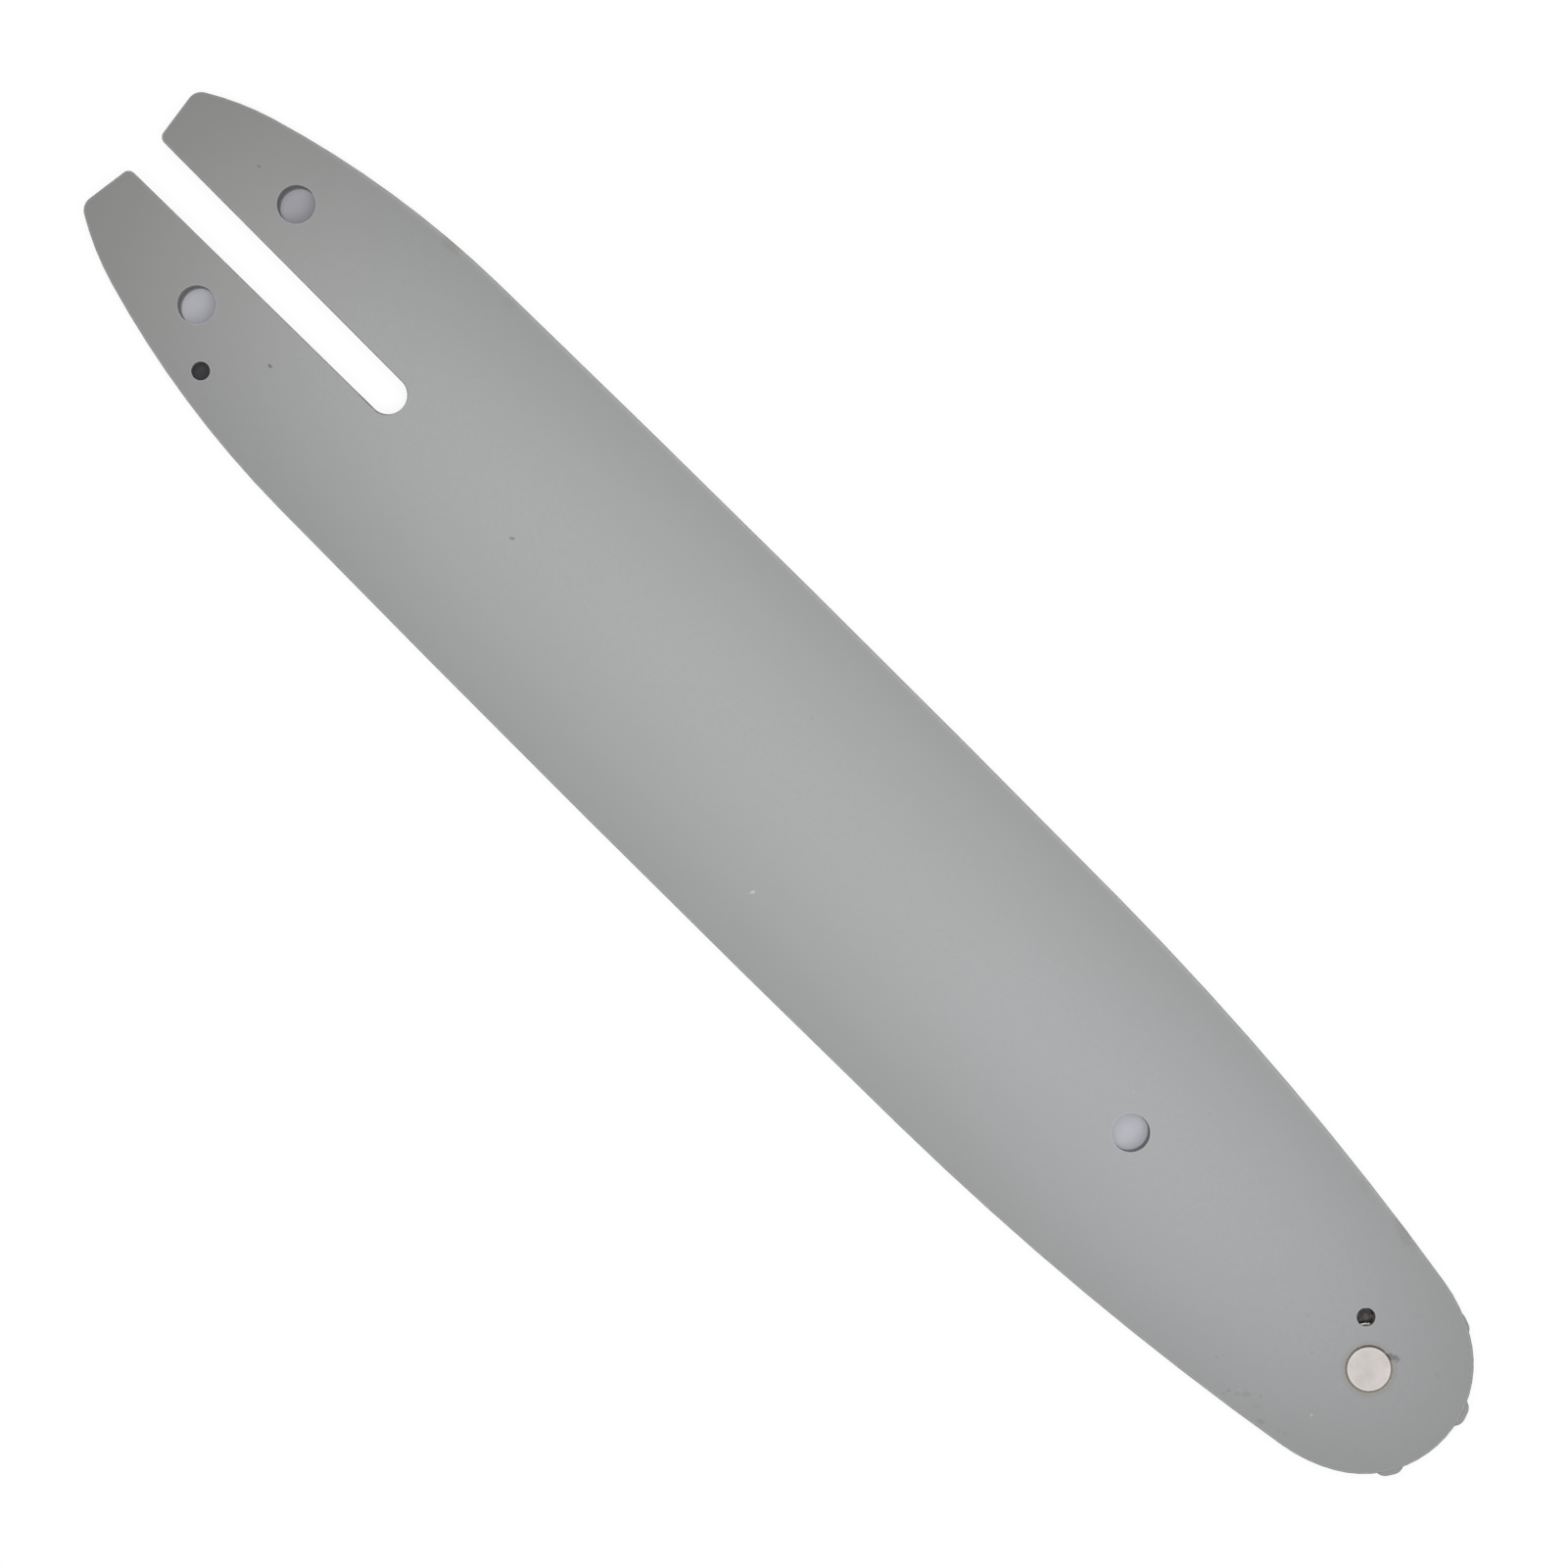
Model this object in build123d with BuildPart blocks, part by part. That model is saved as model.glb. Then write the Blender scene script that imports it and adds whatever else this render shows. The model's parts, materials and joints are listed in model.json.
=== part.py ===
from build123d import *
from math import acos, asin, atan2, degrees, floor, pi, radians, sin, sqrt, tan
import os

# Chainsaw guide bar with a sprocket nose, lying flat on its lower side plate.
# Two side plates and a narrower core plate make the bar. The core stands back from the rails, so the
# chain runs in the groove between the side plates. A seven-tooth sprocket turns on loose rollers round
# a fixed race at the nose, and one flush rivet holds the race between the side plates.
#
# The origin is in the middle of the bar's length, on the centre line, at the face it lies on.
# +X points to the nose, +Z up through the plates. All sizes are in millimetres and degrees.
# A station is a distance along the bar from its tail end.

os.makedirs("parts", exist_ok=True)

# Outline of the side plates
bar_length = 300.0
bar_width = 52.4
widest_station = 137.0
rail_radius = 5700.0
taper_radius = 545.0
cheek_radius = 26.5
cheek_angle = 60.0
nose_radius = 18.0
flank_start = 57.5
flank_radius = 168.0
shoulder_start = 12.5
shoulder_radius = 48.0
tail_slant = 8.0
tail_corner_radius = 2.5
mouth_corner_radius = 1.3

# Plates and chain groove
side_thickness = 1.35
core_thickness = 1.3
groove_depth = 6.2
edge_break = 0.2

# Stud slot, open at the tail and a little wider there
slot_station = 60.6
slot_width = 6.3
slot_flare = 0.35

# Holes
tensioner_station = 24.9
tensioner_web = 0.9
front_hole_setback = 54.8
through_hole_diameter = 6.4
oil_hole_station = 33.0
oil_hole_diameter = 3.1
grease_hole_angle = 138.0
grease_hole_diameter = 3.1

# Rivet and roller bearing at the nose
rivet_setback = 16.8
rivet_shank_diameter = 6.4
rivet_flare = 0.43
rivet_edge_break = 0.1
rivet_groove = 0.32
rivet_clearance = 0.02
race_diameter = 14.6
roller_diameter = 2.4
roller_spacing = 0.02
bearing_clearance = 0.02

# Sprocket
tooth_count = 7
tooth_angle = 18.6
tooth_tip_radius = 18.0
tooth_tip_width = 4.4
tooth_tip_fillet = 1.9
gullet_angle = 72.0
sprocket_wall = 2.1
side_clearance = 0.06
core_to_tooth_gap = 0.8
core_horn_fillet = 0.4

# Levels and places that follow from them
bar_thickness = 2 * side_thickness + core_thickness
core_bottom = side_thickness
core_top = side_thickness + core_thickness
tail_x = -bar_length / 2
tip_x = bar_length / 2
rivet_x = tip_x - rivet_setback

# Radii of the bearing and the sprocket, from the rivet outwards
rivet_shank_radius = rivet_shank_diameter / 2
rivet_head_radius = rivet_shank_radius + rivet_flare
race_radius = race_diameter / 2
roller_radius = roller_diameter / 2
roller_circle_radius = race_radius + bearing_clearance + roller_radius
bore_radius = roller_circle_radius + roller_radius + bearing_clearance
gullet_root_radius = bore_radius + sprocket_wall
sprocket_thickness = core_thickness - 2 * side_clearance
sprocket_bottom = core_bottom + side_clearance
roller_half_pitch = asin((roller_diameter + roller_spacing) / 2 / roller_circle_radius)
roller_count = floor(pi / roller_half_pitch)


def polar(center, radius, angle):
    """The point at a radius and an angle from a centre, in the plane of the bar."""
    return Vector(center) + Vector(radius, 0).rotate(Axis.Z, angle)


def direction(start, end):
    """The angle of the line from start to end, in the plane of the bar."""
    return degrees(atan2(end.Y - start.Y, end.X - start.X))


# One long edge of the bar is a chain of arcs, each tangent to the next: nose, cheek, taper, rail, tail
# flank and tail shoulder. The taper touches the cheek and the rail, so its centre closes a triangle
# with theirs, and the other centres lie on the line through the point where two arcs meet.
nose_center = Vector(tip_x - nose_radius, 0)
cheek_center = polar(nose_center, nose_radius - cheek_radius, cheek_angle)
rail_center = Vector(tail_x + widest_station, bar_width / 2 - rail_radius)
rail_to_cheek = (cheek_center - rail_center).length
rail_to_taper = rail_radius - taper_radius
taper_to_cheek = taper_radius - cheek_radius
squares = rail_to_taper**2 + rail_to_cheek**2 - taper_to_cheek**2
taper_turn = degrees(acos(squares / (2 * rail_to_taper * rail_to_cheek)))
taper_angle = direction(rail_center, cheek_center) + taper_turn
taper_center = polar(rail_center, rail_to_taper, taper_angle)
cheek_end_angle = direction(taper_center, cheek_center)
flank_angle = degrees(acos((tail_x + flank_start - rail_center.X) / rail_radius))
flank_center = polar(rail_center, rail_radius - flank_radius, flank_angle)
shoulder_angle = degrees(acos((tail_x + shoulder_start - flank_center.X) / flank_radius))
shoulder_center = polar(flank_center, flank_radius - shoulder_radius, shoulder_angle)


def rail_face(inset, slant):
    """The bar's outline with no slot, its long edges set in by inset and its tail end cut back by slant."""
    end_angle = degrees(acos((tail_x - shoulder_center.X) / (shoulder_radius - inset)))
    with BuildSketch() as face:
        with BuildLine():
            CenterArc(nose_center, nose_radius - inset, 0, cheek_angle)
            CenterArc(cheek_center, cheek_radius - inset, cheek_angle, cheek_end_angle - cheek_angle)
            CenterArc(taper_center, taper_radius - inset, cheek_end_angle, taper_angle - cheek_end_angle)
            CenterArc(rail_center, rail_radius - inset, taper_angle, flank_angle - taper_angle)
            CenterArc(flank_center, flank_radius - inset, flank_angle, shoulder_angle - flank_angle)
            shoulder_turn = end_angle - shoulder_angle
            shoulder = CenterArc(shoulder_center, shoulder_radius - inset, shoulder_angle, shoulder_turn)
            corner = shoulder @ 1
            Line(corner, (corner.X + corner.Y * tan(radians(slant)), 0))
            mirror(about=Plane.XZ)
        make_face()
    return face.sketch


# Outline of a side plate: the slot is the hull of its round end and its wider mouth
with BuildSketch() as plate_profile:
    add(rail_face(0, tail_slant))
    with BuildLine() as slot_ends:
        CenterArc((tail_x + slot_station - slot_width / 2, 0), slot_width / 2, 0, 360)
        mouth_half_width = slot_width / 2 + slot_flare
        Line((tail_x, -mouth_half_width), (tail_x, mouth_half_width))
    make_hull(slot_ends.edges(), mode=Mode.SUBTRACT)
    fillet(vertices().group_by(Axis.X)[1], mouth_corner_radius)
    fillet(vertices().group_by(Axis.X)[0], tail_corner_radius)


def core_half_width(station):
    """Half the width of the core plate at a station along the tail flank."""
    reach = tail_x + station - flank_center.X
    return flank_center.Y + sqrt((flank_radius - groove_depth) ** 2 - reach**2)


# The tensioner holes go through all three plates and leave a thin web of core beside the groove. The oil
# hole goes through a side plate only and just clears the core, so it opens at the bottom of the groove.
tensioner_x = tail_x + tensioner_station
tensioner_y = core_half_width(tensioner_station) - tensioner_web - through_hole_diameter / 2
front_hole_x = rivet_x - front_hole_setback
through_hole_places = [(tensioner_x, tensioner_y), (tensioner_x, -tensioner_y), (front_hole_x, 0)]
oil_hole_y = -core_half_width(oil_hole_station) - oil_hole_diameter / 2


def side_plate(inner_face):
    """A side plate drawn from its inner face outwards, the same stamping on both sides of the bar."""
    with BuildPart(inner_face) as plate:
        add(plate_profile.sketch)
        extrude(amount=side_thickness)
        outer_face = plate.faces().sort_by(Axis(inner_face.origin, inner_face.z_dir))[-1]
        chamfer(outer_face.outer_wire().edges(), edge_break)
        with Locations(*through_hole_places):
            Hole(through_hole_diameter / 2)
        with Locations((tail_x + oil_hole_station, oil_hole_y)):
            Hole(oil_hole_diameter / 2)
        with Locations(polar((rivet_x, 0), roller_circle_radius, grease_hole_angle)):
            Hole(grease_hole_diameter / 2)
        with Locations((rivet_x, 0, side_thickness)):
            CounterSinkHole(
                rivet_shank_radius + rivet_clearance,
                rivet_head_radius + rivet_groove + rivet_clearance,
                counter_sink_angle=90,
            )
    return plate


# Upper side plate, with the oil hole on the right-hand rail as seen from the tail
side_plate_top = side_plate(Plane.XY.offset(core_top))
side_plate_top.part.label = "side_plate_top"
export_step(side_plate_top.part, "parts/side_plate_top.step")

# Lower side plate, the same piece turned over about the bar's long axis
side_plate_bottom = side_plate(Plane((0, 0, core_bottom), x_dir=(1, 0, 0), z_dir=(0, 0, -1)))
side_plate_bottom.part.label = "side_plate_bottom"
export_step(side_plate_bottom.part, "parts/side_plate_bottom.step")

# Core plate: set in from the rails by the groove, flush at the tail, hollowed round the sprocket
with BuildPart() as core_plate:
    with BuildSketch(Plane.XY.offset(core_bottom)):
        add(rail_face(groove_depth, 0))
        add(plate_profile.sketch, mode=Mode.INTERSECT)
        with Locations((rivet_x, 0)):
            Circle(tooth_tip_radius + core_to_tooth_gap, mode=Mode.SUBTRACT)
        fillet(vertices().group_by(Axis.X)[-1], core_horn_fillet)
    extrude(amount=core_thickness)
    with Locations(*through_hole_places):
        Hole(through_hole_diameter / 2)
core_plate.part.label = "core_plate"
export_step(core_plate.part, "parts/core_plate.step")

# Nose sprocket: a disc with a gullet between each two teeth, a V with a round root that takes a drive link
# of the chain. The flanks of the V pass through the corners of the two tooth tips beside it.
tooth_half_angle = degrees(asin(tooth_tip_width / 2 / tooth_tip_radius))
gullet_corner = polar((0, 0), tooth_tip_radius, 180 / tooth_count - tooth_half_angle)
flank_slope = radians(gullet_angle / 2)
gullet_apex_x = gullet_corner.X - gullet_corner.Y / tan(flank_slope)
gullet_root_fillet = (gullet_root_radius - gullet_apex_x) / (1 / sin(flank_slope) - 1)
with BuildSketch() as gullet:
    with BuildLine():
        apex = Vector(gullet_apex_x, 0)
        flank = PolarLine(apex, 2 * tooth_tip_radius, gullet_angle / 2)
        other_flank = PolarLine(apex, 2 * tooth_tip_radius, -gullet_angle / 2)
        Line(flank @ 1, other_flank @ 1)
    make_face()
    fillet(vertices().sort_by(Axis.X)[0], gullet_root_fillet)
with BuildPart() as nose_sprocket:
    with BuildSketch(Plane.XY.offset(sprocket_bottom)):
        with Locations((rivet_x, 0)):
            Circle(tooth_tip_radius)
            with PolarLocations(0, tooth_count, tooth_angle + 180 / tooth_count):
                add(gullet.sketch, mode=Mode.SUBTRACT)
        fillet(vertices().sort_by_distance((rivet_x, 0))[-2 * tooth_count :], tooth_tip_fillet)
        with Locations((rivet_x, 0)):
            Circle(bore_radius, mode=Mode.SUBTRACT)
    extrude(amount=sprocket_thickness)
nose_sprocket.part.label = "nose_sprocket"
export_step(nose_sprocket.part, "parts/nose_sprocket.step")

# Bearing race: the fixed inner ring, clamped between the side plates
with BuildPart() as bearing_race:
    with BuildSketch(Plane.XY.offset(core_bottom)):
        with Locations((rivet_x, 0)):
            Circle(race_radius)
            Circle(rivet_shank_radius + rivet_clearance, mode=Mode.SUBTRACT)
    extrude(amount=core_thickness)
bearing_race.part.label = "bearing_race"
export_step(bearing_race.part, "parts/bearing_race.step")

# Bearing rollers: a full set with no cage, as many as fit round the race, the first under the grease hole
for index in range(roller_count):
    roller_name = f"bearing_roller_{index + 1:02d}"
    roller_angle = grease_hole_angle + index * 360 / roller_count
    with BuildPart() as bearing_roller:
        with BuildSketch(Plane.XY.offset(sprocket_bottom)):
            with Locations(polar((rivet_x, 0), roller_circle_radius, roller_angle)):
                Circle(roller_radius)
        extrude(amount=sprocket_thickness)
    bearing_roller.part.label = roller_name
    export_step(bearing_roller.part, f"parts/{roller_name}.step")

# Nose rivet: a shank with a flared head at each end, flush with the side plates
with BuildPart() as nose_rivet:
    rivet_plane = Plane((rivet_x, 0, bar_thickness / 2), x_dir=(1, 0, 0), z_dir=(0, -1, 0))
    with BuildSketch(rivet_plane):
        with BuildLine():
            Polyline(
                (0, 0),
                (rivet_shank_radius, 0),
                (rivet_shank_radius, bar_thickness / 2 - rivet_groove - rivet_flare),
                (rivet_head_radius, bar_thickness / 2 - rivet_groove),
                (rivet_head_radius, bar_thickness / 2),
                (0, bar_thickness / 2),
                close=True,
            )
        make_face()
        mirror(about=Plane.XZ)
    revolve(axis=Axis((rivet_x, 0, 0), (0, 0, 1)))
    rims = nose_rivet.edges().filter_by(GeomType.CIRCLE).group_by(Axis.Z)
    chamfer(rims[0] + rims[-1], rivet_edge_break)
nose_rivet.part.label = "nose_rivet"
export_step(nose_rivet.part, "parts/nose_rivet.step")

print(f"{roller_count} rollers on a circle of radius {roller_circle_radius:.2f}")
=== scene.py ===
# %% [markdown]
# # A chainsaw guide bar, dressed for a studio picture
# The bar is a flat sandwich of three steel plates. A sprocket turns in its nose on a ring of rollers. The
# solids come from the CAD frame and are already true, so this lesson gives them their finishes, and sets
# up a camera and a lamp like those of the photograph.

# %% Load the frame
import json
from math import radians

import bpy
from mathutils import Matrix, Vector


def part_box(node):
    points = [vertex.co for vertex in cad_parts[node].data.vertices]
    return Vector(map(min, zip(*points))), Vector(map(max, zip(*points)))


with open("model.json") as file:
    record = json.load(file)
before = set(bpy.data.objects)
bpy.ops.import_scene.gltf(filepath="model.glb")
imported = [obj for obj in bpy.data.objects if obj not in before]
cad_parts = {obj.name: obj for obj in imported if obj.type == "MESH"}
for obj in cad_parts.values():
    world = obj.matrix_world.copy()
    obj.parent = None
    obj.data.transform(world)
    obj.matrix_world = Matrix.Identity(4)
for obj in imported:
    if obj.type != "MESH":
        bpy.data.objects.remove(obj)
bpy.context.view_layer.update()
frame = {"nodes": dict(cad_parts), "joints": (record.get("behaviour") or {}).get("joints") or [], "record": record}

nodes = frame["nodes"]

# %% [markdown]
# ## Places that the finishes need
# Finishes need to know where the rivet, the race and the faces of the plates are. They could be measured
# and typed in, but the frame knows them, so nothing is measured twice. The sprocket's joint gives the
# rivet's axis, and the boxes of the pieces give levels and radii. Marks on the coat are small, so the
# materials below count in millimetres, and one number turns metres into them.

# %% Rivet axis, radii and the levels of the plates
MM = 0.001


def radius_of(name):
    """Half the width of a round piece, in millimetres."""
    low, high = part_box(name)
    return (high.x - low.x) / 2 / MM


spin = next(joint for joint in frame["joints"] if joint["name"] == "sprocket_spin")
rivet_x, rivet_y = (value / MM for value in spin["pos_m"][:2])
rivet_axis = (rivet_x, rivet_y, 0)
head_radius = radius_of("nose_rivet")
race_radius = radius_of("bearing_race")
core_bottom, core_top = (corner.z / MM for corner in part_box("core_plate"))
top_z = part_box("side_plate_top")[1].z / MM
print("rivet axis at x", round(rivet_x, 2), "mm, upper face at z", round(top_z, 2), "mm")
print("rivet's head", round(head_radius, 3), "mm and race", round(race_radius, 3), "mm in radius")

# %% [markdown]
# ## The camera
# The photograph looks straight down on the bar, which lies across the picture at nearly 45 degrees. A
# very long lens would give the same outline, but a hole shows a sliver of its wall only when the lens is
# fairly close. So the slivers in the holes give the lens height, and the length of the bar in pixels then
# gives the focal length. The bar stays where the frame put it, and the camera is turned instead.

# %% Camera above the bar
frame_pixels = 1601
pixels_per_mm = 6.254
lens_height = 525.0
bar_turn = 44.8
middle_x, middle_y = -1.9, 0.5
camera_data = bpy.data.cameras.new("camera")
camera_data.sensor_width = 36
camera_data.lens = camera_data.sensor_width * lens_height / (frame_pixels / pixels_per_mm)
camera = bpy.data.objects.new("camera", camera_data)
camera.location = Vector((middle_x, middle_y, top_z + lens_height)) * MM
camera.rotation_euler = (0, 0, radians(bar_turn))
bpy.context.scene.collection.objects.link(camera)
bpy.context.scene.camera = camera
print("focal length", round(camera_data.lens, 1), "mm")

# %% [markdown]
# ## Small helpers for shader nodes
# Every finish here is a web of nodes. It could be drawn by hand in the shader editor, but a script can be
# read and run again. Short helpers keep its cells readable: each adds one node, joins what it is given,
# and hands back the output.

# %% Add and join nodes
def add_node(tree, kind, **options):
    """A new node with its options set."""
    node = tree.nodes.new(kind)
    for option, value in options.items():
        setattr(node, option, value)
    return node


def feed(tree, socket, source):
    """Joins an output to a socket, or sets the socket to a plain value."""
    if isinstance(source, bpy.types.NodeSocket):
        tree.links.new(source, socket)
    else:
        socket.default_value = source


def calc(tree, operation, *sources, clamp=False):
    """A Math node on outputs or plain numbers."""
    node = add_node(tree, "ShaderNodeMath", operation=operation, use_clamp=clamp)
    for socket, source in zip(node.inputs, sources):
        feed(tree, socket, source)
    return node.outputs[0]


def vector(tree, operation, *sources):
    """A Vector Math node on outputs or plain vectors; gives its outputs, Vector and Value."""
    node = add_node(tree, "ShaderNodeVectorMath", operation=operation)
    for socket, source in zip(node.inputs, sources):
        feed(tree, socket, source)
    return node.outputs


noise_middle = 0.5


def noise(tree, place, scale, **settings):
    """The value of a Noise node at a place, around its middle."""
    node = add_node(tree, "ShaderNodeTexNoise")
    for name, value in dict(Vector=place, Scale=scale, **settings).items():
        feed(tree, node.inputs[name], value)
    return node.outputs[0]


print("helpers for single nodes are ready")

# %% Blend values and colours
def ramp(tree, source, zero_at, one_at):
    """Takes a value smoothly from 0 at one number to 1 at another, up or down."""
    node = add_node(tree, "ShaderNodeMapRange", interpolation_type="SMOOTHSTEP")
    for name, value in (("Value", source), ("From Min", zero_at), ("From Max", one_at)):
        feed(tree, node.inputs[name], value)
    return node.outputs["Result"]


def between(tree, mask, at_zero, at_one):
    """A value that goes evenly from one number, where a mask is 0, to another, where it is 1."""
    return calc(tree, "MULTIPLY_ADD", mask, at_one - at_zero, at_zero)


def tint(tree, amount, under, over, blend="MIX"):
    """Lays one colour over another by an amount."""
    node = add_node(tree, "ShaderNodeMix", data_type="RGBA", blend_type=blend)
    feed(tree, node.inputs[0], amount)
    feed(tree, node.inputs[6], under)
    feed(tree, node.inputs[7], over)
    return node.outputs[2]


def toned(tree, colour, tone):
    """Multiplies a colour by a tone."""
    return tint(tree, 1.0, colour, tone, blend="MULTIPLY")


print("helpers for blends are ready")

# %% [markdown]
# ## Helpers for node groups
# Grain, wear and dirt come back in several materials. Each could be built again every time, but a node
# group is built once, has named sockets like any other node, and takes its own values wherever it is
# placed.

# %% Make and place groups
def new_group(name, inputs, outputs):
    """A shader node group with named sockets, and its two end nodes."""
    group = bpy.data.node_groups.new(name, "ShaderNodeTree")
    for label, kind, value in inputs:
        socket = group.interface.new_socket(label, in_out="INPUT", socket_type="NodeSocket" + kind)
        socket.default_value = value
    for label, kind in outputs:
        group.interface.new_socket(label, in_out="OUTPUT", socket_type="NodeSocket" + kind)
    return group, group.nodes.new("NodeGroupInput").outputs, group.nodes.new("NodeGroupOutput").inputs


def use_group(tree, group, **values):
    """Places a group in a material, with values for its inputs. A name's underscores stand for spaces."""
    node = add_node(tree, "ShaderNodeGroup", node_tree=group)
    for name, value in values.items():
        feed(tree, node.inputs[name.replace("_", " ")], value)
    return node.outputs


print("helpers for groups are ready")

# %% [markdown]
# ## Group: fine grain
# No real surface has one even tone. A sprayed coat has a faint mottle and an orange-peel skin, and rolled
# or ground steel has its own cloudiness. A photographed texture could show this, but a noise needs no
# file and never repeats. One noise gives both a tone near 1 to multiply a colour by and a height for a
# bump, and each material chooses its own scale and strength.

# %% Build the grain group
grain, given, result = new_group(
    "grain",
    [("Place", "Vector", (0, 0, 0)), ("Per mm", "Float", 1.0), ("Strength", "Float", 0.02)],
    [("Tone", "Float"), ("Height", "Float")],
)
cloud = noise(grain, given["Place"], given["Per mm"], Detail=3.0, Roughness=0.55)
swing = calc(grain, "MULTIPLY", calc(grain, "SUBTRACT", cloud, noise_middle), given["Strength"])
feed(grain, result["Tone"], calc(grain, "MULTIPLY_ADD", swing, 1 / noise_middle, 1.0))
feed(grain, result["Height"], cloud)
print("group", grain.name, "has", [socket.name for socket in grain.interface.items_tree])

# %% [markdown]
# ## Group: worn edges, and painted light and shade on edges
# A coat is thinnest on a corner, and metal is rubbed bright there. Wear could be painted along every edge by hand,
# but the Bevel node finds the edges by itself: it rounds the normals near a corner, so the places where its normal
# leaves the face's own normal are the corners. A chamfer is a corner too, and its slope gives it away on a flat
# bar. A noise breaks the line up, because wear is never even. The same mask also lays painted highlights and
# painted shade along edges.

# %% Build the edge wear group
edge_wear_and_light, given, result = new_group(
    "edge wear",
    [("Place", "Vector", (0, 0, 0)), ("Radius", "Float", 0.2 * MM), ("Breakup", "Float", 0.5)],
    [("Mask", "Float")],
)
rounded = add_node(edge_wear_and_light, "ShaderNodeBevel", samples=4)
feed(edge_wear_and_light, rounded.inputs["Radius"], given["Radius"])
face = add_node(edge_wear_and_light, "ShaderNodeNewGeometry")
agree = vector(edge_wear_and_light, "DOT_PRODUCT", rounded.outputs[0], face.outputs["Normal"])["Value"]
corner = ramp(edge_wear_and_light, agree, zero_at=0.995, one_at=0.91)
tilt = add_node(edge_wear_and_light, "ShaderNodeSeparateXYZ")
feed(edge_wear_and_light, tilt.inputs[0], face.outputs["True Normal"])
lean = calc(edge_wear_and_light, "ABSOLUTE", tilt.outputs["Z"])
not_wall = ramp(edge_wear_and_light, lean, zero_at=0.2, one_at=0.5)
not_flat = ramp(edge_wear_and_light, lean, zero_at=0.95, one_at=0.85)
corner = calc(edge_wear_and_light, "MAXIMUM", corner, calc(edge_wear_and_light, "MULTIPLY", not_wall, not_flat))
chips = noise(edge_wear_and_light, given["Place"], scale=1.3)
patchy = ramp(edge_wear_and_light, chips, zero_at=0.35, one_at=0.65)
kept = calc(edge_wear_and_light, "SUBTRACT", 1.0, calc(edge_wear_and_light, "MULTIPLY", patchy, given["Breakup"]))
feed(edge_wear_and_light, result["Mask"], calc(edge_wear_and_light, "MULTIPLY", corner, kept))
print("group", edge_wear_and_light.name, "has", [socket.name for socket in edge_wear_and_light.interface.items_tree])

# %% [markdown]
# ## Group: one mark
# Specks, flecks, rubs and smudges are all the same thing to a shader: a soft patch at a place, longer
# than it is wide, turned by some angle and ragged at its rim. They could be painted on an image, but then
# the plate would have to be unwrapped. Here the distance from the patch's centre is measured in patch
# lengths and widths, a noise is added to it, and a smooth step turns it into a mask. The patch is thin
# from top to bottom, so that a mark on the upper face stays off the lower one.

# %% Build the mark group
mark, given, result = new_group(
    "mark",
    [("Place", "Vector", (0, 0, 0)), ("Centre", "Vector", (0, 0, 0)), ("Turn", "Float", 0.0),
     ("Half size", "Vector", (1, 1, 1)), ("Soft", "Float", 0.4), ("Ragged", "Float", 0.3)],
    [("Mask", "Float")],
)
offset = vector(mark, "SUBTRACT", given["Place"], given["Centre"])["Vector"]
turned = add_node(mark, "ShaderNodeVectorRotate", rotation_type="Z_AXIS", invert=True)
feed(mark, turned.inputs["Vector"], offset)
feed(mark, turned.inputs["Angle"], given["Turn"])
scaled = vector(mark, "DIVIDE", turned.outputs[0], given["Half size"])["Vector"]
reach = vector(mark, "LENGTH", scaled)["Value"]
rim_swing = 4.0
rim = calc(mark, "SUBTRACT", noise(mark, given["Place"], scale=2.2), noise_middle)
reach = calc(mark, "MULTIPLY_ADD", calc(mark, "MULTIPLY", rim, given["Ragged"]), rim_swing, reach)
core_reach = calc(mark, "SUBTRACT", 1.0, given["Soft"])
feed(mark, result["Mask"], ramp(mark, reach, zero_at=1.0, one_at=core_reach))
print("group", mark.name, "has", [socket.name for socket in mark.interface.items_tree])

# %% [markdown]
# ## Group: a ring
# The rivet's seat and its painted rim highlight, the race's painted glint, the painted shade in the gap by the
# race and the painted shade on the paper under a hole are all rings or discs about an upright axis. A round
# gradient texture could draw one of them. Measuring the distance from the axis draws them all, because the inner
# and the outer radius are then two plain inputs.

# %% Build the ring group
ring, given, result = new_group(
    "ring",
    [("Place", "Vector", (0, 0, 0)), ("Axis", "Vector", (0, 0, 0)), ("Inner", "Float", 1.0),
     ("Outer", "Float", 2.0), ("Soft", "Float", 0.1)],
    [("Mask", "Float")],
)
offset = vector(ring, "SUBTRACT", given["Place"], given["Axis"])["Vector"]
level = vector(ring, "MULTIPLY", offset, (1, 1, 0))["Vector"]
reach = vector(ring, "LENGTH", level)["Value"]
begin = ramp(ring, reach, calc(ring, "SUBTRACT", given["Inner"], given["Soft"]), given["Inner"])
end = ramp(ring, reach, calc(ring, "ADD", given["Outer"], given["Soft"]), given["Outer"])
feed(ring, result["Mask"], calc(ring, "MULTIPLY", begin, end))
print("group", ring.name, "has", [socket.name for socket in ring.interface.items_tree])

# %% [markdown]
# ## Group: a band of height
# The inner faces of the side plates, which meet the core, were never coated. They could have a material
# slot of their own, but the solids come with one slot each. The faces lie at two known levels, so a band
# of height finds them.

# %% Build the band group
band, given, result = new_group(
    "band",
    [("Place", "Vector", (0, 0, 0)), ("Low", "Float", 0.0), ("High", "Float", 1.0),
     ("Soft", "Float", 0.01)],
    [("Mask", "Float")],
)
parts = add_node(band, "ShaderNodeSeparateXYZ")
feed(band, parts.inputs[0], given["Place"])
height = parts.outputs["Z"]
begin = ramp(band, height, calc(band, "SUBTRACT", given["Low"], given["Soft"]), given["Low"])
end = ramp(band, height, calc(band, "ADD", given["High"], given["Soft"]), given["High"])
feed(band, result["Mask"], calc(band, "MULTIPLY", begin, end))
print("group", band.name, "has", [socket.name for socket in band.interface.items_tree])

# %% [markdown]
# ## A material to start from
# Each finish begins with a Principled shader and with places in millimetres, and most get a bumpy skin.
# The places could be taken in the world, but the object's own coordinates move with the piece, so a
# finish never slides when the sprocket turns.

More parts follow.
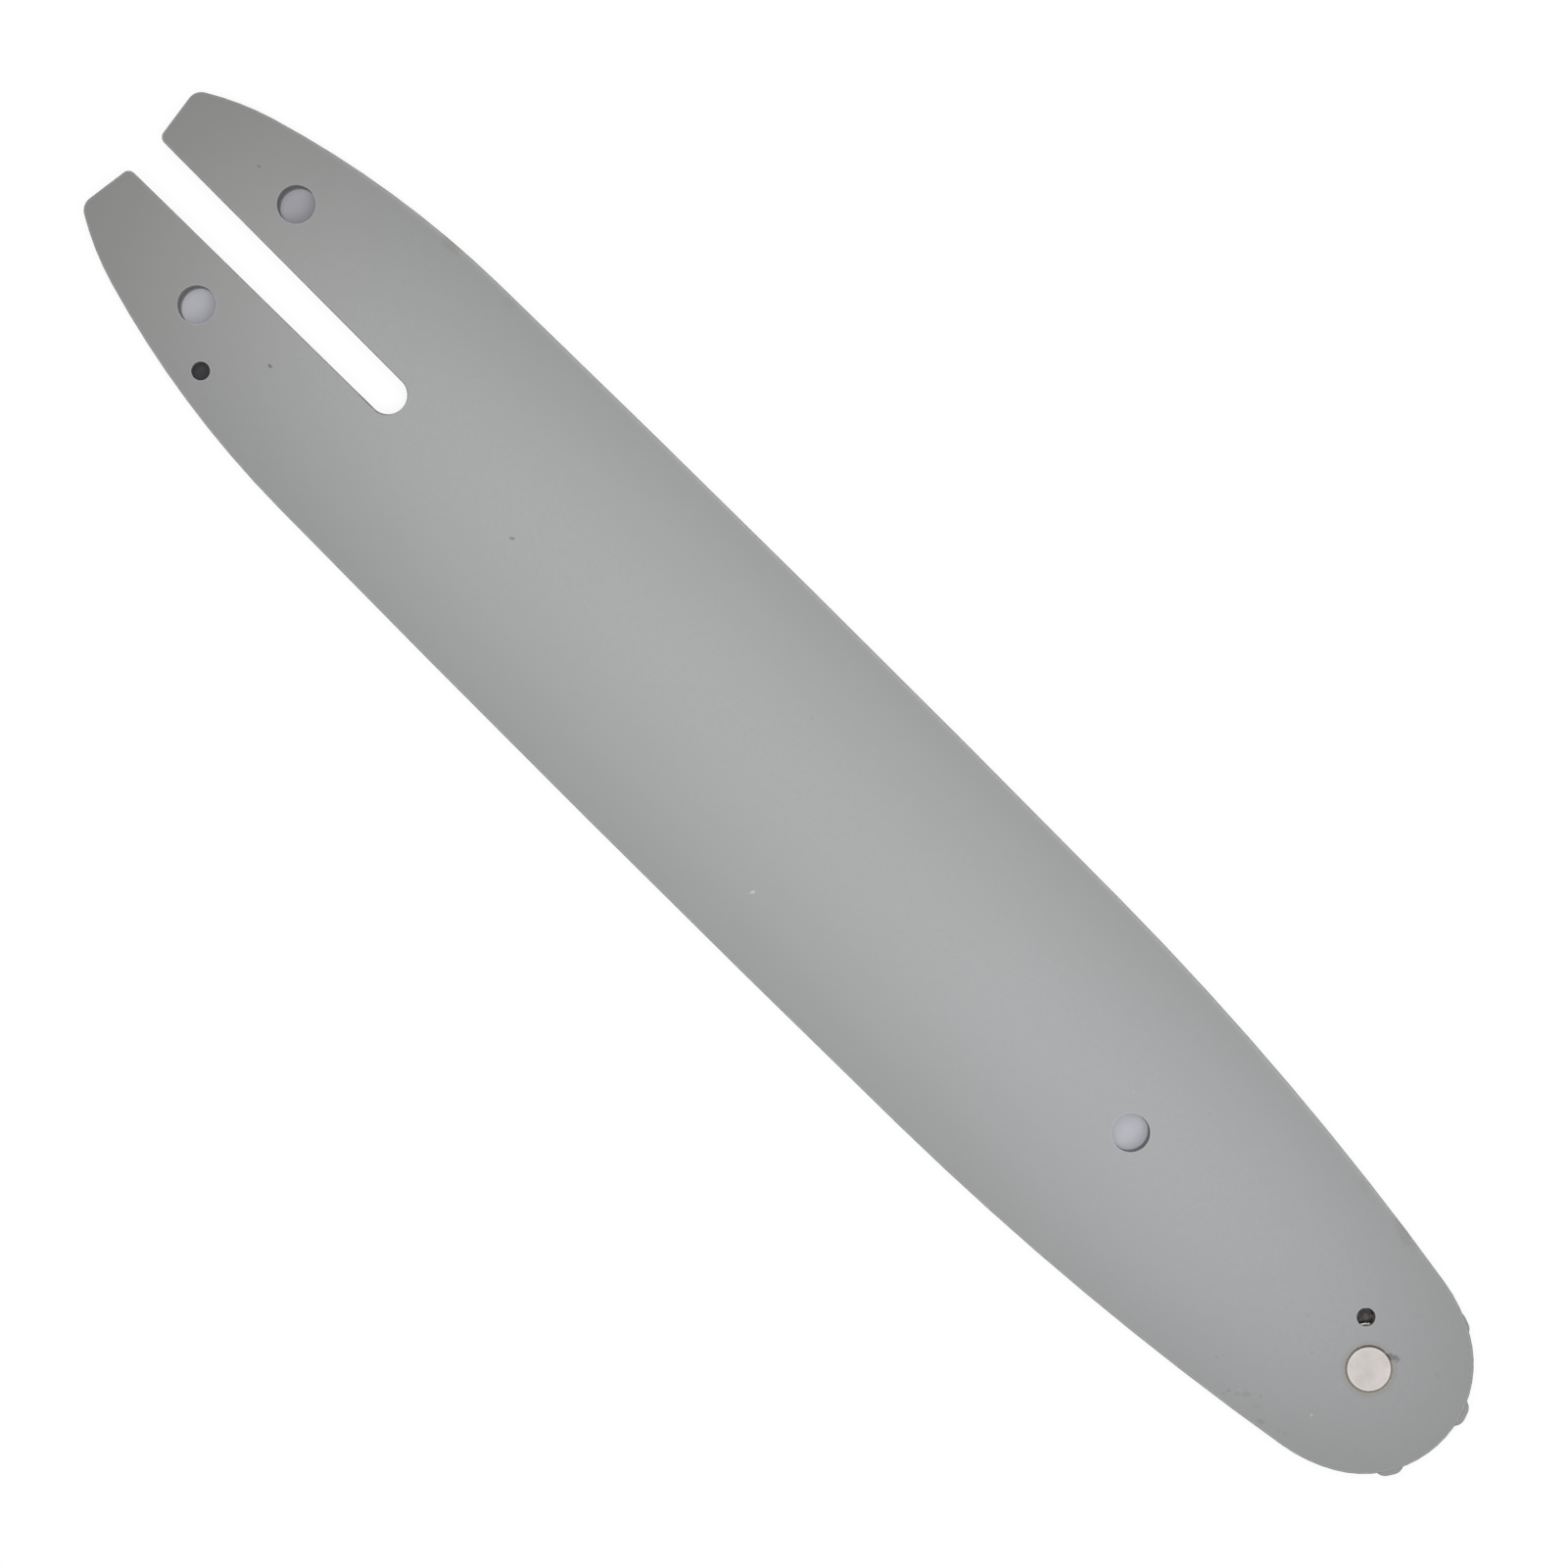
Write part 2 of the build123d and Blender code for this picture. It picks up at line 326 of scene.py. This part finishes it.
# %% Start a material
def start_material(name, metallic=0.0):
    """A new material; gives the material, its tree, its shader and places in millimetres."""
    material = bpy.data.materials.new(name)
    material.use_nodes = True
    tree = material.node_tree
    shader = tree.nodes["Principled BSDF"]
    shader.inputs["Metallic"].default_value = metallic
    spot = add_node(tree, "ShaderNodeTexCoord")
    place = vector(tree, "DIVIDE", spot.outputs["Object"], (MM, MM, MM))["Vector"]
    return material, tree, shader, place


def rough_skin(tree, shader, height, strength, depth):
    """Gives a shader a bumpy skin with a depth in millimetres."""
    bump = add_node(tree, "ShaderNodeBump")
    feed(tree, bump.inputs["Height"], height)
    feed(tree, bump.inputs["Strength"], strength)
    feed(tree, bump.inputs["Distance"], depth * MM)
    feed(tree, shader.inputs["Normal"], bump.outputs["Normal"])


def dress(material, *names):
    """Puts a material on CAD solids, in place of the plain one they came with."""
    for name in names:
        nodes[name].data.materials.clear()
        nodes[name].data.materials.append(material)
    print("material", material.name, "is on", names[0], "and", len(names) - 1, "more")


print("materials start from a Principled shader and millimetres")

# %% [markdown]
# ## The grey coat
# The side plates carry a smooth satin coat of mid grey. The soft light band down the middle of the bar could be
# painted in, but it would then stay when the lamp moves. So the colour is nearly even, and the sheen makes the
# band under one long lamp. Patches shift the hue, two grains give a faint mottle, and the skin gets a very shallow
# orange peel. On corners the coat is thin and a little paler, partly as a painted highlight. The inner faces are
# bare and oily, and are painted very dark as the shade inside the groove, and the rivet's seat has olive dirt in
# it, more of it on one side, with a faint stain round it.

# %% Patches of colour on the coat
patch_depth = 0.6


def lay_patches(tree, place, colour, patches):
    """Lays soft patches over a colour, one after another."""
    for x, y, turn, half_length, half_width, over, strength in patches:
        patch = use_group(
            tree, mark, Place=place, Centre=(x, y, top_z), Turn=radians(turn),
            Half_size=(half_length, half_width, patch_depth), Soft=0.6, Ragged=0.35,
        )
        colour = tint(tree, calc(tree, "MULTIPLY", patch["Mask"], strength), colour, over)
    return colour


print("a patch reaches", patch_depth, "mm below the face")

# %% Dirt in the rivet's seat
seat_olive = (0.395, 0.373, 0.312, 1)
grime_brown = (0.185, 0.167, 0.128, 1)
seat_half_width = 0.33
seat_inner = head_radius - seat_half_width
seat_outer = head_radius + seat_half_width
stain_margin = 0.09
stain_share = 0.45
dirty_shift = 2.7


def dirty_seat(tree, place, colour):
    """Lays a stain and a dirty ring round the rivet over a colour."""
    about = dict(Place=place, Axis=rivet_axis, Inner=seat_inner)
    stain = use_group(tree, ring, Outer=seat_outer + stain_margin, Soft=0.9, **about)
    colour = tint(tree, calc(tree, "MULTIPLY", stain["Mask"], stain_share), colour, grime_brown)
    seat = use_group(tree, ring, Outer=seat_outer, Soft=0.06, **about)
    dirty_side = (rivet_x - dirty_shift, rivet_y + dirty_shift, top_z)
    dirtier = use_group(
        tree, mark, Place=place, Centre=dirty_side, Half_size=(4, 4, 9), Soft=0.9, Ragged=0.4
    )
    dirt = tint(tree, dirtier["Mask"], seat_olive, grime_brown)
    return tint(tree, seat["Mask"], colour, dirt)


print("seat from", round(seat_inner, 2), "to", round(seat_outer, 2), "mm from the rivet's axis")

# %% The coat without marks
coat_grey = (0.259, 0.269, 0.2687, 1)
thin_coat_and_highlight = (0.58, 0.58, 0.565, 1)
oily_steel_and_shade = (0.060, 0.059, 0.066, 1)
face_margin = 0.02
thin_and_highlight_share = 0.8
bare_extra = 0.5


def grey_coat(name, drifts=()):
    """The coat; gives the material, its tree, shader, places and last colour."""
    material, tree, shader, place = start_material(name)
    fine = use_group(tree, grain, Place=place, Per_mm=2.4, Strength=0.030)
    broad = use_group(tree, grain, Place=place, Per_mm=0.035, Strength=0.030)
    tone = calc(tree, "MULTIPLY", fine["Tone"], broad["Tone"])
    colour = toned(tree, lay_patches(tree, place, coat_grey, drifts), tone)
    # Corners are painted paler: partly thin, worn coat, partly a painted highlight.
    worn_and_lit_edge = use_group(tree, edge_wear_and_light, Place=place, Radius=0.30 * MM, Breakup=0.3)
    colour = tint(tree, calc(tree, "MULTIPLY", worn_and_lit_edge["Mask"], thin_and_highlight_share), colour, thin_coat_and_highlight)
    inside = use_group(
        tree, band, Place=place, Low=core_bottom - face_margin, High=core_top + face_margin
    )
    # Painted shade: the bare inner faces are painted very dark, for oil and for the shade inside the groove.
    colour = tint(tree, inside["Mask"], colour, oily_steel_and_shade)
    colour = dirty_seat(tree, place, colour)
    satin = between(tree, fine["Height"], 0.285, 0.335)
    roughness = calc(tree, "MULTIPLY_ADD", inside["Mask"], bare_extra, satin)
    feed(tree, shader.inputs["Roughness"], roughness)
    peel = use_group(tree, grain, Place=place, Per_mm=1.1, Strength=0.1)
    rough_skin(tree, shader, peel["Height"], strength=0.05, depth=0.02)
    return material, tree, shader, place, colour


print("coat colour", coat_grey[:3])

# %% Lower side plate
coat_lower, tree, shader, place, colour = grey_coat("coat_lower")
feed(tree, shader.inputs["Base Color"], colour)
dress(coat_lower, "side_plate_bottom")

# %% [markdown]
# ## Marks on the upper face
# The bar in the photograph is new but handled. There are dust nibs under the coat, a yellowish fleck, rubs by the
# nose, a scrape beside the rivet and brown smudges on one rail, and a dark line of painted shade lies along the
# slot's end. The coat also drifts in hue, a little warmer at the tail and cooler towards the nose, and a painted
# highlight runs along one rail. A scatter of random marks would be quicker, but these are where the photograph
# shows them. Each is a row: its place in millimetres, its turn in degrees, its half length and half width, a
# colour and a strength.

# %% Drifts of hue and marks
nib_dark = (0.040, 0.042, 0.040, 1)
rub_dark = (0.175, 0.180, 0.178, 1)
# painted shade for the dark line along the slot's end
slot_edge_shade = (0.110, 0.112, 0.110, 1)
fleck_pale = (0.66, 0.64, 0.50, 1)
smudge_brown = (0.200, 0.195, 0.170, 1)
tail_warm = (0.2775, 0.2750, 0.2717, 1)
nose_cool = (0.2650, 0.2715, 0.2860, 1)
coat_drifts = [
    (-150.0, 0.0, 0, 60.0, 60.0, tail_warm, 1.0),
    (92.0, 0.0, 0, 62.0, 27.0, nose_cool, 1.0),
]
coat_marks = [
    (-61.6, -2.3, 40, 0.60, 0.36, nib_dark, 1.0),
    (-133.8, 11.6, 10, 0.42, 0.30, nib_dark, 0.5),
    (-109.5, -10.2, 0, 0.50, 0.42, nib_dark, 1.0),
    (6.9, -15.7, 60, 0.55, 0.36, fleck_pale, 0.6),
    (131.8, -11.9, 0, 0.36, 0.26, fleck_pale, 0.4),
    (121.8, -17.1, 40, 1.1, 0.50, rub_dark, 0.62),
    (120.7, -18.0, 60, 0.5, 0.38, rub_dark, 0.55),
    (119.1, -19.5, 45, 0.6, 0.30, rub_dark, 0.5),
    (119.4, -18.6, 40, 0.45, 0.35, rub_dark, 0.75),
    (120.5, -17.2, 45, 0.45, 0.30, fleck_pale, 0.12),
    (124.6, -17.2, 45, 1.2, 0.55, rub_dark, 0.22),
    (126.6, -18.5, 20, 0.85, 0.44, rub_dark, 0.75),
    (123.8, -15.6, -45, 0.6, 0.35, rub_dark, 0.5),
    (129.9, -17.6, 0, 0.45, 0.38, rub_dark, 0.45),
    (130.8, -17.1, 0, 0.45, 0.38, rub_dark, 0.4),
    (114.1, -16.1, 5, 0.6, 0.3, rub_dark, 0.5),
    (134.6, 4.1, 18, 1.5, 0.75, nib_dark, 0.95),
    (135.0, 4.4, 10, 0.7, 0.5, nib_dark, 0.5),
    (136.9, 2.3, 0, 0.5, 0.35, rub_dark, 0.35),
    (141.9, 7.1, -45, 0.6, 0.4, rub_dark, 0.4),
    (131.8, -5.1, 10, 0.3, 0.2, fleck_pale, 0.2),
    (74.0, 5.1, 0, 0.35, 0.3, fleck_pale, 0.13),
    (-6.3, 11.3, 0, 0.4, 0.3, rub_dark, 0.5),
    (124.6, -4.6, 0, 0.42, 0.35, rub_dark, 0.45),
    (119.9, -0.7, 0, 0.40, 0.34, rub_dark, 0.4),
    (85.4, 11.3, 0, 0.40, 0.34, rub_dark, 0.4),
    (-148.0, 7.2, 80, 0.7, 0.4, rub_dark, 0.12),
    (-102.4, 24.6, 8, 2.4, 1.3, smudge_brown, 0.5),
    (-89.1, 24.6, 5, 1.6, 1.0, smudge_brown, 0.3),
    (121.4, 20.0, -22, 4.2, 1.5, smudge_brown, 0.6),
    (111.8, 20.6, -18, 1.5, 0.9, smudge_brown, 0.3),
    # Painted shade: a dark line along the slot's end, where its wall is in shadow.
    (-94.2, -3.2, 0, 2.8, 0.26, slot_edge_shade, 0.9),
    (-91.2, -2.8, 28, 1.3, 0.28, slot_edge_shade, 0.9),
]
print(len(coat_marks), "marks and", len(coat_drifts), "drifts of hue")

# %% Upper side plate
coat_upper, tree, shader, place, colour = grey_coat("coat_upper", coat_drifts)
# Painted highlight: the rail on one side is painted paler, as if it caught more light.
highlight_side = (0, 40, top_z)
highlight_reach = (400, 25, patch_depth)
rail_highlight_share = 0.4
one_side = use_group(
    tree, mark, Place=place, Centre=highlight_side, Half_size=highlight_reach, Soft=0.3, Ragged=0.0
)
rail = use_group(tree, edge_wear_and_light, Place=place, Radius=1.3 * MM, Breakup=0.3)
rail_highlight = calc(tree, "MULTIPLY", calc(tree, "MULTIPLY", rail["Mask"], one_side["Mask"]), rail_highlight_share)
colour = tint(tree, rail_highlight, colour, thin_coat_and_highlight)
feed(tree, shader.inputs["Base Color"], lay_patches(tree, place, colour, coat_marks))
dress(coat_upper, "side_plate_top")

# %% [markdown]
# ## The core plate
# Only the core's narrow edges show: at the bottom of the chain groove, and as a stripe half way down the
# wall of each hole. It was blanked from bare sheet and coated with the rest. The side plates' material
# could serve for it, but a blanked edge is duller and has oil dust in it, so it gets a rougher finish of
# its own.

# %% Core finish
core_grey = (0.20, 0.20, 0.195, 1)
core_finish, tree, shader, place = start_material("core_finish")
fine = use_group(tree, grain, Place=place, Per_mm=1.7, Strength=0.12)
worn_and_lit_edge = use_group(tree, edge_wear_and_light, Place=place, Radius=0.10 * MM, Breakup=0.6)
colour = tint(tree, worn_and_lit_edge["Mask"], toned(tree, core_grey, fine["Tone"]), thin_coat_and_highlight)
feed(tree, shader.inputs["Base Color"], colour)
feed(tree, shader.inputs["Roughness"], between(tree, fine["Height"], 0.40, 0.60))
rough_skin(tree, shader, fine["Height"], strength=0.15, depth=0.03)
dress(core_finish, "core_plate")

# %% [markdown]
# ## The sprocket
# The sprocket is hardened steel, about as grey as the coat, and from above only its tooth tips show. A plain grey
# metal would pass there, but from the side more of the teeth shows in the groove. So a cloudy grain keeps the
# steel uneven, as hardening does, and the edges of the teeth are painted dark as painted shade, where their
# rounded rims turn from the light.

# %% Hardened steel
tooth_grey = (0.178, 0.177, 0.181, 1)
tooth_edge_shade = (0.085, 0.080, 0.088, 1)
tooth_shade_share = 0.85
hard_steel, tree, shader, place = start_material("hard_steel", metallic=1.0)
cloudy = use_group(tree, grain, Place=place, Per_mm=0.8, Strength=0.25)
edges = use_group(tree, edge_wear_and_light, Place=place, Radius=0.25 * MM, Breakup=0.5)
# Painted shade: the edges of the teeth are painted dark.
painted_tooth_shade = calc(tree, "MULTIPLY", edges["Mask"], tooth_shade_share)
colour = tint(tree, painted_tooth_shade, toned(tree, tooth_grey, cloudy["Tone"]), tooth_edge_shade)
feed(tree, shader.inputs["Base Color"], colour)
feed(tree, shader.inputs["Roughness"], between(tree, cloudy["Height"], 0.42, 0.62))
rough_skin(tree, shader, cloudy["Height"], strength=0.12, depth=0.03)
dress(hard_steel, "nose_sprocket")

# %% [markdown]
# ## The bearing
# The race and the rollers show only through the grease hole. The race is ground steel. Its face is painted dark as
# the shade it lies in, and a painted glint on its edge is the bright sliver at the bottom of the hole. The rollers
# are under a film of old grease, dark where it is thick and steely where a roller has wiped it thin, and a black
# ring of painted shade lies in the gap where they meet the race. The film could be a mesh of its own, but it is
# thinner than anything the picture can show, so it is a change of colour and gloss.

# %% Ground race
# Painted shade and light: the race's face is painted dark as the shade it lies in, and a bright ring on its edge
# is a painted glint.
race_face_shade = (0.100, 0.098, 0.088, 1)
race_painted_glint = (0.37, 0.36, 0.335, 1)
glint_width = 0.14
beyond = 1.0
race_steel, tree, shader, place = start_material("race_steel", metallic=1.0)
silky = use_group(tree, grain, Place=place, Per_mm=0.9, Strength=0.10)
glint_ring = use_group(
    tree, ring, Place=place, Axis=rivet_axis,
    Inner=race_radius - glint_width, Outer=race_radius + beyond, Soft=0.08,
)
colour = tint(tree, glint_ring["Mask"], toned(tree, race_face_shade, silky["Tone"]), race_painted_glint)
feed(tree, shader.inputs["Base Color"], colour)
feed(tree, shader.inputs["Roughness"], between(tree, silky["Height"], 0.35, 0.45))
rough_skin(tree, shader, silky["Height"], strength=0.1, depth=0.02)
dress(race_steel, "bearing_race")

# %% Greased rollers
roller_steel = (0.105, 0.104, 0.106, 1)
grease_olive = (0.028, 0.030, 0.020, 1)
grease_brown = (0.044, 0.030, 0.027, 1)
gap_shade_black = (0.010, 0.009, 0.008, 1)
gap_shade_width = 0.35
roller_names = sorted(name for name in nodes if name.startswith("bearing_roller"))
greased_steel, tree, shader, place = start_material("greased_steel")
shader.inputs["Specular IOR Level"].default_value = 0.25
film = use_group(tree, grain, Place=place, Per_mm=1.5, Strength=0.3)
thick = ramp(tree, film["Height"], zero_at=0.38, one_at=0.58)
warm = use_group(tree, grain, Place=place, Per_mm=0.6, Strength=0.3)
brown = ramp(tree, warm["Height"], zero_at=0.40, one_at=0.60)
grease = tint(tree, brown, grease_olive, grease_brown)
# Painted shade: a black ring where the rollers meet the race, for the shade in the gap.
gap_shade = use_group(
    tree, ring, Place=place, Axis=rivet_axis,
    Inner=race_radius - beyond, Outer=race_radius + gap_shade_width, Soft=0.25,
)
colour = tint(tree, gap_shade["Mask"], tint(tree, thick, roller_steel, grease), gap_shade_black)
feed(tree, shader.inputs["Base Color"], colour)
feed(tree, shader.inputs["Metallic"], between(tree, thick, 0.5, 0.0))
feed(tree, shader.inputs["Roughness"], between(tree, thick, 0.70, 0.60))
rough_skin(tree, shader, film["Height"], strength=0.4, depth=0.06)
dress(greased_steel, *roller_names)

# %% [markdown]
# ## The rivet
# The rivet's head was set and then ground flush, so it is the brightest thing on the bar, a warm white disc with a
# painted highlight along its rim. A polished head would show small, sharp reflections. Grinding leaves it silky,
# so its roughness is high and the light spreads over the whole disc.

# %% Ground rivet
rivet_warm = (0.396, 0.372, 0.361, 1)
rivet_rim_highlight = (0.47, 0.45, 0.425, 1)
rim_highlight_share = 0.5
rim_inner = head_radius - 0.28
rim_outer = head_radius - 0.09
ground_rivet, tree, shader, place = start_material("ground_rivet", metallic=1.0)
silky = use_group(tree, grain, Place=place, Per_mm=2.2, Strength=0.16)
cloudy = use_group(tree, grain, Place=place, Per_mm=0.35, Strength=0.20)
colour = toned(tree, rivet_warm, calc(tree, "MULTIPLY", silky["Tone"], cloudy["Tone"]))
# Painted highlight: a lighter band is painted just inside the rim.
rim_highlight_band = use_group(
    tree, ring, Place=place, Axis=rivet_axis, Inner=rim_inner, Outer=rim_outer, Soft=0.12
)
colour = tint(tree, calc(tree, "MULTIPLY", rim_highlight_band["Mask"], rim_highlight_share), colour, rivet_rim_highlight)
flank = use_group(
    tree, ring, Place=place, Axis=rivet_axis, Inner=head_radius, Outer=head_radius + beyond, Soft=0.02
)
feed(tree, shader.inputs["Base Color"], tint(tree, flank["Mask"], colour, seat_olive))
feed(tree, shader.inputs["Roughness"], between(tree, silky["Height"], 0.56, 0.68))
rough_skin(tree, shader, silky["Height"], strength=0.08, depth=0.02)
dress(ground_rivet, "nose_rivet")

# %% [markdown]
# ## The white table
# The bar lies on a white sheet that is burnt out around it. More light would burn it out too, but the bar would go
# pale with it. So open paper is blended towards plain white for the camera and for reflections, and still takes
# part of the bar's soft shadow. Inside the round holes the plain white is taken away as painted shade, so the
# sheet keeps a pale, bluish grey. A painted trace of light is left there, a little different in each hole and
# lighter on the side that faces the tail. The record gives the places of the holes. An Ambient Occlusion node
# keeps the faint shade close along the bar's edge that even a burnt-out sheet shows.

# %% Table
table_half = 2.5
table_drop = 0.02 * MM
corners = [(-1, -1, 0), (1, -1, 0), (1, 1, 0), (-1, 1, 0)]
table_mesh = bpy.data.meshes.new("table")
table_mesh.from_pydata([Vector(corner) * table_half for corner in corners], [], [(0, 1, 2, 3)])
table = bpy.data.objects.new("table", table_mesh)
table.location.z = -table_drop
bpy.context.scene.collection.objects.link(table)
print("table", 2 * table_half, "m wide")

# %% Paper at the holes
hole_light_trace = {"tensioner_hole_left": 0.03, "tensioner_hole_right": 0.15, "front_hole": 0.23}
shut_in_margin = 1.4
lit_shift = Vector((-1.4, -0.6, 0))
no_inner = -1.0
paper, tree, shader, place = start_material("paper")
mounts = {mount["name"]: mount for mount in frame["record"]["mounts"]}
open_paper = 1.0
# Painted shade and light: each hole takes the plain white away, and keeps a trace of it as painted light on one
# side.
for hole, light_trace in hole_light_trace.items():
    axis = Vector(mounts[hole]["pos_m"]) / MM
    shut_in_radius = mounts[hole]["dims"]["r_mm"] + shut_in_margin
    shut_in = use_group(
        tree, ring, Place=place, Axis=axis, Inner=no_inner, Outer=shut_in_radius, Soft=0.3
    )
    lit = use_group(tree, ring, Place=place, Axis=axis + lit_shift, Inner=no_inner, Outer=0.5, Soft=8.0)
    shade = between(tree, lit["Mask"], 1.0, 1.0 - light_trace)
    painted_hole_shade = calc(tree, "MULTIPLY", shut_in["Mask"], shade)
    open_paper = calc(tree, "MULTIPLY", open_paper, calc(tree, "SUBTRACT", 1.0, painted_hole_shade))
print("grey paper at", len(hole_light_trace), "holes")

# %% Burnt-out paper
def seen_directly(tree):
    """1 for what the camera or a reflection meets, 0 for the light that things throw on each other."""
    rays = add_node(tree, "ShaderNodeLightPath")
    seen = calc(tree, "ADD", rays.outputs["Is Camera Ray"], rays.outputs["Is Glossy Ray"])
    return calc(tree, "ADD", seen, rays.outputs["Is Transmission Ray"], clamp=True)


paper_grey = (0.50, 0.50, 0.535, 1)
hole_blue = (1.0, 0.985, 1.14, 1)
plain_white = (1, 1, 1, 1)
black = (0, 0, 0, 1)
paper_white = 1.21
burnt_share = 0.78
edge_shade = 0.12
shade_reach = 3 * MM
shader.inputs["Specular IOR Level"].default_value = 0.0
shader.inputs["Emission Strength"].default_value = paper_white * burnt_share
burnt_out = calc(tree, "MULTIPLY", seen_directly(tree), open_paper)
still_grey = tint(tree, calc(tree, "MULTIPLY", burnt_out, burnt_share), paper_grey, black)
feed(tree, shader.inputs["Base Color"], still_grey)
near_bar = add_node(tree, "ShaderNodeAmbientOcclusion", samples=4)
feed(tree, near_bar.inputs["Distance"], shade_reach)
shade = between(tree, near_bar.outputs["AO"], 1.0 - edge_shade, 1.0)
level = calc(tree, "MULTIPLY", burnt_out, shade)
white = toned(tree, tint(tree, open_paper, hole_blue, plain_white), level)
feed(tree, shader.inputs["Emission Color"], white)
table.data.materials.append(paper)
print("open paper is", burnt_share, "plain white")

# %% [markdown]
# ## The light
# A studio picture of a flat part could be lit by several soft boxes, but this coat shows one soft band.
# So one long narrow lamp hangs above the bar and runs along it. Its blurred reflection in the satin coat
# is the band: it fades to the rails because the lamp is narrow, and it fades at the tail because the lamp
# ends there. A dim even sky fills the rest. The sky is white where the camera or a reflection meets it.

# %% Lamp
lamp_data = bpy.data.lights.new("strip_lamp", "AREA")
lamp_data.shape = "RECTANGLE"
lamp_data.size = 0.488
lamp_data.size_y = 0.020
lamp_data.energy = 1.19
lamp = bpy.data.objects.new("strip_lamp", lamp_data)
lamp.location = (0.020, 0.002, 0.404)
lamp.visible_camera = False
bpy.context.scene.collection.objects.link(lamp)
print("lamp", round(lamp_data.size, 3), "m long at", round(lamp_data.energy, 2), "W")

# %% Sky
fill_level = 0.096
world = bpy.data.worlds.new("sky")
bpy.context.scene.world = world
world.use_nodes = True
tree = world.node_tree
tree.nodes.clear()
sky = add_node(tree, "ShaderNodeBackground")
feed(tree, sky.inputs["Color"], plain_white)
feed(tree, sky.inputs["Strength"], between(tree, seen_directly(tree), fill_level, 1.0))
out = add_node(tree, "ShaderNodeOutputWorld")
feed(tree, out.inputs["Surface"], sky.outputs[0])
bpy.context.scene.view_settings.view_transform = "Standard"
print("sky fills at", fill_level)
